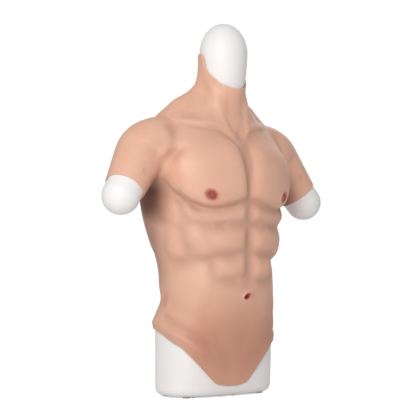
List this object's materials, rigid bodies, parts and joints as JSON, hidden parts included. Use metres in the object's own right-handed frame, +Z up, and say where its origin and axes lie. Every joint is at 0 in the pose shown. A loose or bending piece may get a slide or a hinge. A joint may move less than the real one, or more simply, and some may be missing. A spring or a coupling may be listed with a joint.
{
  "type": "muscle torso mannequin",
  "caption": "Faceless white torso form with rounded head and arm stumps, wearing a moulded flesh-coloured silicone muscle skin with a high collar, short sleeves and a front flap.",
  "frame": {"origin": "on the stand socket's axis, in the plane of the feet", "axes": "+Z up; the figure faces -Y and its left side is +X"},
  "size_m": [0.6576, 0.2789, 0.883],
  "materials": {
    "silicone": "soft satin silicone",
    "white_form": "matte",
    "plywood": "raw birch plywood",
    "grey_nylon": "moulded",
    "zinc_steel": "zinc plated",
    "painted_steel": "satin black powder coat",
    "brass": "turned",
    "pale_rubber": "matte"
  },
  "bodies": {
    "torso": {"muscle_skin": "silicone", "form_front_shell": "white_form", "form_rear_shell": "white_form", "neck_board": "plywood", "swivel_flange": "grey_nylon", "swivel_screws": "zinc_steel", "base_board": "plywood", "base_board_screws": "zinc_steel", "stand_flange": "painted_steel", "stand_flange_bolts": "zinc_steel", "rubber_feet": "pale_rubber", "right_stub_board": "plywood", "right_stub_socket": "painted_steel", "right_stub_screws": "zinc_steel", "left_stub_board": "plywood", "left_stub_socket": "painted_steel", "left_stub_screws": "zinc_steel"},
    "neck_swivel": {"neck_spigot": "zinc_steel", "spigot_washer": "zinc_steel", "spigot_nut": "zinc_steel"},
    "head": {"head_shell": "white_form", "head_plug": "plywood", "head_socket": "grey_nylon"},
    "clamp_pad": {"lock_pad": "brass"},
    "clamp_screw": {"lock_screw": "zinc_steel"},
    "right_cap": {"right_cap_shell": "white_form", "right_cap_board": "plywood", "right_cap_peg": "zinc_steel", "right_cap_peg_nut": "zinc_steel"},
    "left_cap": {"left_cap_shell": "white_form", "left_cap_board": "plywood", "left_cap_peg": "zinc_steel", "left_cap_peg_nut": "zinc_steel"}
  },
  "joints": [
    {"name": "head_turn", "type": "hinge", "parent": "torso", "child": "neck_swivel", "pos_m": [0, -0.039, 0.716], "axis": [0, 0, 1], "range_deg": [-80, 80]},
    {"name": "head_lift", "type": "slide", "parent": "neck_swivel", "child": "head", "axis": [0, 0, 1], "range_m": [0, 0.06]},
    {"name": "clamp_travel", "type": "slide", "parent": "torso", "child": "clamp_pad", "axis": [0, -1, 0], "range_m": [0, 0.004]},
    {"name": "clamp_screw_turn", "type": "hinge", "parent": "clamp_pad", "child": "clamp_screw", "pos_m": [0, 0.0238, 0.062], "axis": [0, -1, 0], "range_deg": [0, 1153]},
    {"name": "right_cap_pull", "type": "slide", "parent": "torso", "child": "right_cap", "axis": [-0.5931, -0.191, -0.7821], "range_m": [0, 0.06]},
    {"name": "left_cap_pull", "type": "slide", "parent": "torso", "child": "left_cap", "axis": [0.5931, -0.191, -0.7821], "range_m": [0, 0.06]}
  ],
  "couplings": [
    {"joint": "clamp_screw_turn", "follows": "clamp_travel", "rad_per_m": 5026.5}
  ]
}
